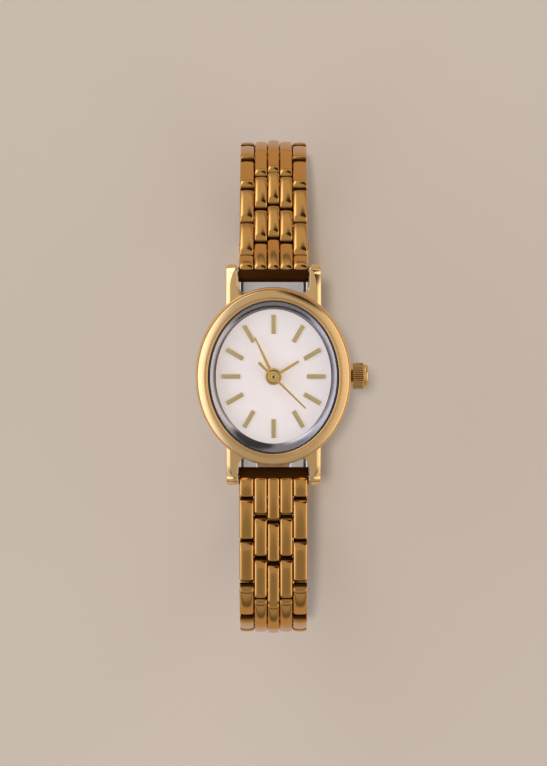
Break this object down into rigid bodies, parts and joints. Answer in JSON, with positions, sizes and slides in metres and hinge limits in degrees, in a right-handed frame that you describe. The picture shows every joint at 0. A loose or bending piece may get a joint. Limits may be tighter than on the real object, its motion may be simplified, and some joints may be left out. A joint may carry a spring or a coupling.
{
  "type": "oval bracelet wristwatch",
  "caption": "Small oval quartz wristwatch with three hands, a side crown and a gold-coloured stepped link bracelet closed in a ring by a fold-over clasp.",
  "frame": {"origin": "centre of the flat outer face of the case back", "axes": "+Z out of the dial, +Y towards 12 o'clock, +X towards the crown"},
  "size_m": [0.0226, 0.0672, 0.041],
  "materials": {
    "case_gold": "polished yellow-gold plating",
    "bracelet_gold": "polished deep-gold plating",
    "dial_gold": "satin khaki-gold plating",
    "steel": "brushed stainless steel",
    "ring_steel": "satin grey metal",
    "crystal_glass": "clear polished mineral glass",
    "dial_pearl": "pale pearl lacquer",
    "gasket_rubber": "dark smooth rubber",
    "holder_plastic": "white moulded plastic",
    "motor_iron": "dark soft iron",
    "coil_copper": "enamelled copper winding",
    "circuit_board": "green circuit board",
    "movement_brass": "plain machined brass"
  },
  "bodies": {
    "head": {"case_middle": "case_gold", "crown_tube": "case_gold", "case_back": "steel", "back_gasket": "gasket_rubber", "bezel": "case_gold", "crystal": "crystal_glass", "crystal_gasket": "gasket_rubber", "dial_ring": "ring_steel", "dial": "dial_pearl", "hour_markers": "dial_gold", "movement_holder": "holder_plastic", "main_plate": "movement_brass", "train_bridge": "movement_brass", "stator": "motor_iron", "coil": "coil_copper", "battery": "steel", "battery_clamp": "steel", "circuit_block": "circuit_board", "twelve_spring_bar": "steel", "six_spring_bar": "steel"},
    "second_train": {"second_wheel": "movement_brass", "second_hand": "dial_gold"},
    "minute_train": {"centre_wheel": "movement_brass", "minute_hand": "dial_gold"},
    "hour_train": {"hour_wheel": "movement_brass", "hour_hand": "dial_gold"},
    "third": {"third_wheel": "movement_brass"},
    "motion_minute": {"minute_wheel": "movement_brass"},
    "intermediate": {"intermediate_wheel": "movement_brass"},
    "rotor_body": {"rotor": "motor_iron"},
    "lever": {"setting_lever": "steel"},
    "crown_stem": {"stem": "steel", "crown": "case_gold", "crown_gasket": "gasket_rubber"},
    "twelve_end": {"twelve_end_link": "bracelet_gold"},
    "twelve_1": {"twelve_link_1": "bracelet_gold"},
    "twelve_2": {"twelve_link_2": "bracelet_gold"},
    "twelve_3": {"twelve_link_3": "bracelet_gold"},
    "twelve_4": {"twelve_link_4": "bracelet_gold"},
    "twelve_5": {"twelve_link_5": "bracelet_gold"},
    "twelve_6": {"twelve_link_6": "bracelet_gold"},
    "twelve_7": {"twelve_link_7": "bracelet_gold"},
    "twelve_8": {"twelve_link_8": "bracelet_gold"},
    "six_end": {"six_end_link": "bracelet_gold"},
    "six_1": {"six_link_1": "bracelet_gold"},
    "six_2": {"six_link_2": "bracelet_gold"},
    "six_3": {"six_link_3": "bracelet_gold"},
    "six_4": {"six_link_4": "bracelet_gold"},
    "six_5": {"six_link_5": "bracelet_gold"},
    "six_6": {"six_link_6": "bracelet_gold"},
    "six_7": {"six_link_7": "bracelet_gold"},
    "six_8": {"six_link_8": "bracelet_gold"},
    "six_9": {"six_link_9": "bracelet_gold", "six_spring_bar_clasp": "steel"},
    "cover": {"clasp_cover": "case_gold", "clasp_cover_pin": "case_gold", "clasp_spring_bar": "steel"},
    "middle_blade": {"clasp_middle_blade": "case_gold", "clasp_blade_pin": "case_gold"},
    "inner_blade": {"clasp_inner_blade": "case_gold"}
  },
  "joints": [
    {"name": "minute_turn", "type": "hinge", "parent": "head", "child": "minute_train", "pos_m": [0, 0, 0.0022], "axis": [0, 0, 1], "continuous": true},
    {"name": "second_turn", "type": "hinge", "parent": "head", "child": "second_train", "pos_m": [0, 0, 0.0022], "axis": [0, 0, 1], "continuous": true},
    {"name": "hour_turn", "type": "hinge", "parent": "head", "child": "hour_train", "pos_m": [0, 0, 0.0022], "axis": [0, 0, 1], "continuous": true},
    {"name": "third_turn", "type": "hinge", "parent": "head", "child": "third", "pos_m": [-0.00216, -0.00079, 0.0022], "axis": [0, 0, 1], "continuous": true},
    {"name": "motion_turn", "type": "hinge", "parent": "head", "child": "motion_minute", "pos_m": [-0.001, 0.00173, 0.0022], "axis": [0, 0, 1], "continuous": true},
    {"name": "intermediate_turn", "type": "hinge", "parent": "head", "child": "intermediate", "pos_m": [0.00197, 0.00072, 0.0022], "axis": [0, 0, 1], "continuous": true},
    {"name": "rotor_turn", "type": "hinge", "parent": "head", "child": "rotor_body", "pos_m": [0.00287, -0.00084, 0.0022], "axis": [0, 0, 1], "continuous": true},
    {"name": "crown_pull", "type": "slide", "parent": "head", "child": "lever", "axis": [1, 0, 0], "range_m": [0, 0.0008]},
    {"name": "crown_turn", "type": "hinge", "parent": "lever", "child": "crown_stem", "pos_m": [0.0103, 0, 0.00262], "axis": [1, 0, 0], "continuous": true},
    {"name": "twelve_end_hinge", "type": "hinge", "parent": "head", "child": "twelve_end", "pos_m": [0, 0.0133, 0.0012], "axis": [-1, 0, 0], "range_deg": [-40, 0]},
    {"name": "twelve_hinge_1", "type": "hinge", "parent": "twelve_end", "child": "twelve_1", "pos_m": [0, 0.01608, -0.00168], "axis": [-1, 0, 0], "range_deg": [-4, 0]},
    {"name": "twelve_hinge_2", "type": "hinge", "parent": "twelve_1", "child": "twelve_2", "pos_m": [0, 0.02043, -0.0052], "axis": [-1, 0, 0], "range_deg": [-4, 0]},
    {"name": "twelve_hinge_3", "type": "hinge", "parent": "twelve_2", "child": "twelve_3", "pos_m": [0, 0.02484, -0.00865], "axis": [-1, 0, 0], "range_deg": [-17, 0]},
    {"name": "twelve_hinge_4", "type": "hinge", "parent": "twelve_3", "child": "twelve_4", "pos_m": [0, 0.02837, -0.013], "axis": [-1, 0, 0], "range_deg": [-27, 0]},
    {"name": "twelve_hinge_5", "type": "hinge", "parent": "twelve_4", "child": "twelve_5", "pos_m": [0, 0.02991, -0.01838], "axis": [-1, 0, 0], "range_deg": [-28, 0]},
    {"name": "twelve_hinge_6", "type": "hinge", "parent": "twelve_5", "child": "twelve_6", "pos_m": [0, 0.02913, -0.02393], "axis": [-1, 0, 0], "range_deg": [-30, 0]},
    {"name": "twelve_hinge_7", "type": "hinge", "parent": "twelve_6", "child": "twelve_7", "pos_m": [0, 0.026, -0.02857], "axis": [-1, 0, 0], "range_deg": [-29, 0]},
    {"name": "twelve_hinge_8", "type": "hinge", "parent": "twelve_7", "child": "twelve_8", "pos_m": [0, 0.0212, -0.03146], "axis": [-1, 0, 0], "range_deg": [-25, 0]},
    {"name": "six_end_hinge", "type": "hinge", "parent": "head", "child": "six_end", "pos_m": [0, -0.0133, 0.0012], "axis": [1, 0, 0], "range_deg": [-5, 0]},
    {"name": "six_hinge_1", "type": "hinge", "parent": "six_end", "child": "six_1", "pos_m": [0, -0.0173, 0.00113], "axis": [1, 0, 0], "range_deg": [-6, 0]},
    {"name": "six_hinge_2", "type": "hinge", "parent": "six_1", "child": "six_2", "pos_m": [0, -0.02289, 0.00084], "axis": [1, 0, 0], "range_deg": [-7, 0]},
    {"name": "six_hinge_3", "type": "hinge", "parent": "six_2", "child": "six_3", "pos_m": [0, -0.02846, 0.00025], "axis": [1, 0, 0], "range_deg": [-38, 0]},
    {"name": "six_hinge_4", "type": "hinge", "parent": "six_3", "child": "six_4", "pos_m": [0, -0.03275, -0.00335], "axis": [1, 0, 0], "range_deg": [-34, 0]},
    {"name": "six_hinge_5", "type": "hinge", "parent": "six_4", "child": "six_5", "pos_m": [0, -0.03467, -0.00861], "axis": [1, 0, 0], "range_deg": [-22, 0]},
    {"name": "six_hinge_6", "type": "hinge", "parent": "six_5", "child": "six_6", "pos_m": [0, -0.03486, -0.01421], "axis": [1, 0, 0], "range_deg": [-16, 0]},
    {"name": "six_hinge_7", "type": "hinge", "parent": "six_6", "child": "six_7", "pos_m": [0, -0.03389, -0.01972], "axis": [1, 0, 0], "range_deg": [-18, 0]},
    {"name": "six_hinge_8", "type": "hinge", "parent": "six_7", "child": "six_8", "pos_m": [0, -0.03161, -0.02484], "axis": [1, 0, 0], "range_deg": [-19, 0]},
    {"name": "six_hinge_9", "type": "hinge", "parent": "six_8", "child": "six_9", "pos_m": [0, -0.02809, -0.02919], "axis": [1, 0, 0], "range_deg": [-20, 0]},
    {"name": "cover_hinge", "type": "hinge", "parent": "twelve_8", "child": "cover", "pos_m": [0, 0.01568, -0.0324], "axis": [-1, 0, 0], "range_deg": [-14, 0]},
    {"name": "middle_blade_hinge", "type": "hinge", "parent": "cover", "child": "middle_blade", "pos_m": [0, -0.0201, -0.0339], "axis": [-1, 0, 0], "range_deg": [-90, 0]},
    {"name": "inner_blade_hinge", "type": "hinge", "parent": "middle_blade", "child": "inner_blade", "pos_m": [0, 0.01258, -0.0335], "axis": [1, 0, 0], "range_deg": [-65, 0]}
  ],
  "couplings": [
    {"joint": "minute_turn", "follows": "second_turn", "ratio": 0.016667},
    {"joint": "hour_turn", "follows": "second_turn", "ratio": 0.0013889},
    {"joint": "third_turn", "follows": "second_turn", "ratio": -0.13333},
    {"joint": "motion_turn", "follows": "second_turn", "ratio": -0.0055556},
    {"joint": "intermediate_turn", "follows": "second_turn", "ratio": -6},
    {"joint": "rotor_turn", "follows": "second_turn", "ratio": 30}
  ]
}
